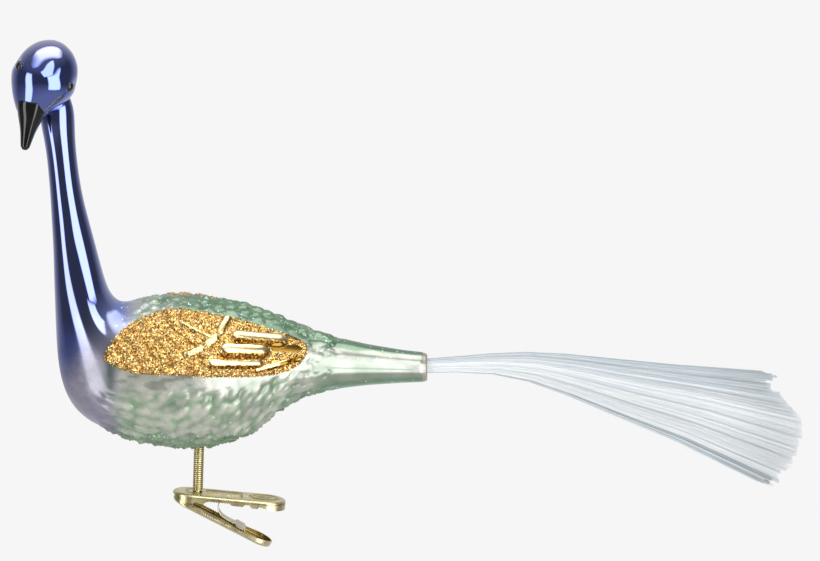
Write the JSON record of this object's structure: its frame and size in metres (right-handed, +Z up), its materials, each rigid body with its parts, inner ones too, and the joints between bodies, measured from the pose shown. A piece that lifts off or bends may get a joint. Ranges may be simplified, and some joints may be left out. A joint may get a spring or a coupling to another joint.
{
  "type": "clip-on glass bird ornament",
  "caption": "Blown silvered-glass bird with a long neck and spun-glass tail, on a coil-spring stem and a sprung brass clip.",
  "frame": {"origin": "in the clip's mouth, where a twig is held, midway between the jaws", "axes": "the bird faces -X and its tail runs along +X, its left side faces -Y, +Z is up"},
  "size_m": [0.2239, 0.0368, 0.1468],
  "materials": {
    "silvered_glass": "silvered blown glass, blue lacquer on the neck and pale green on the body",
    "black_enamel": "glossy black enamel",
    "gold_glitter": "gold glitter and gilding on glue",
    "spun_glass": "brush of fine straight spun-glass fibres, mostly air between them",
    "clear_cement": "clear glue",
    "brass": "bright pressed brass"
  },
  "bodies": {
    "clip_upper": {"clip_upper_shell": "brass", "spring_rivet": "brass", "clip_leaf_spring": "brass"},
    "clip_lower": {"clip_lower_shell": "brass"},
    "stem": {"coil_spring": "brass"},
    "bird": {"bird_glass": "silvered_glass", "beak_enamel": "black_enamel", "eye_left": "black_enamel", "eye_right": "black_enamel", "wing_coat_left": "gold_glitter", "wing_coat_right": "gold_glitter", "tail_fibres": "spun_glass", "tail_cement": "clear_cement", "belly_cement": "clear_cement"}
  },
  "joints": [
    {"name": "clip_hinge", "type": "hinge", "parent": "clip_upper", "child": "clip_lower", "pos_m": [0.005, 0, -0.0009], "axis": [0, -1, 0], "range_deg": [0, 20], "stiffness_Nm_per_rad": 0.15, "springref_deg": -20.05, "deforming": ["clip_leaf_spring"]},
    {"name": "stem_nod", "type": "hinge", "parent": "clip_upper", "child": "stem", "pos_m": [0.00405, 0, 0.00755], "axis": [0, 1, 0], "range_deg": [-10, 10], "stiffness_Nm_per_rad": 0.08, "springref_deg": -2.06, "deforming": ["coil_spring"]},
    {"name": "stem_sway", "type": "hinge", "parent": "stem", "child": "bird", "pos_m": [0.00421, 0, 0.01254], "axis": [1, 0, 0], "range_deg": [-10, 10], "stiffness_Nm_per_rad": 0.08, "deforming": ["coil_spring"]}
  ]
}
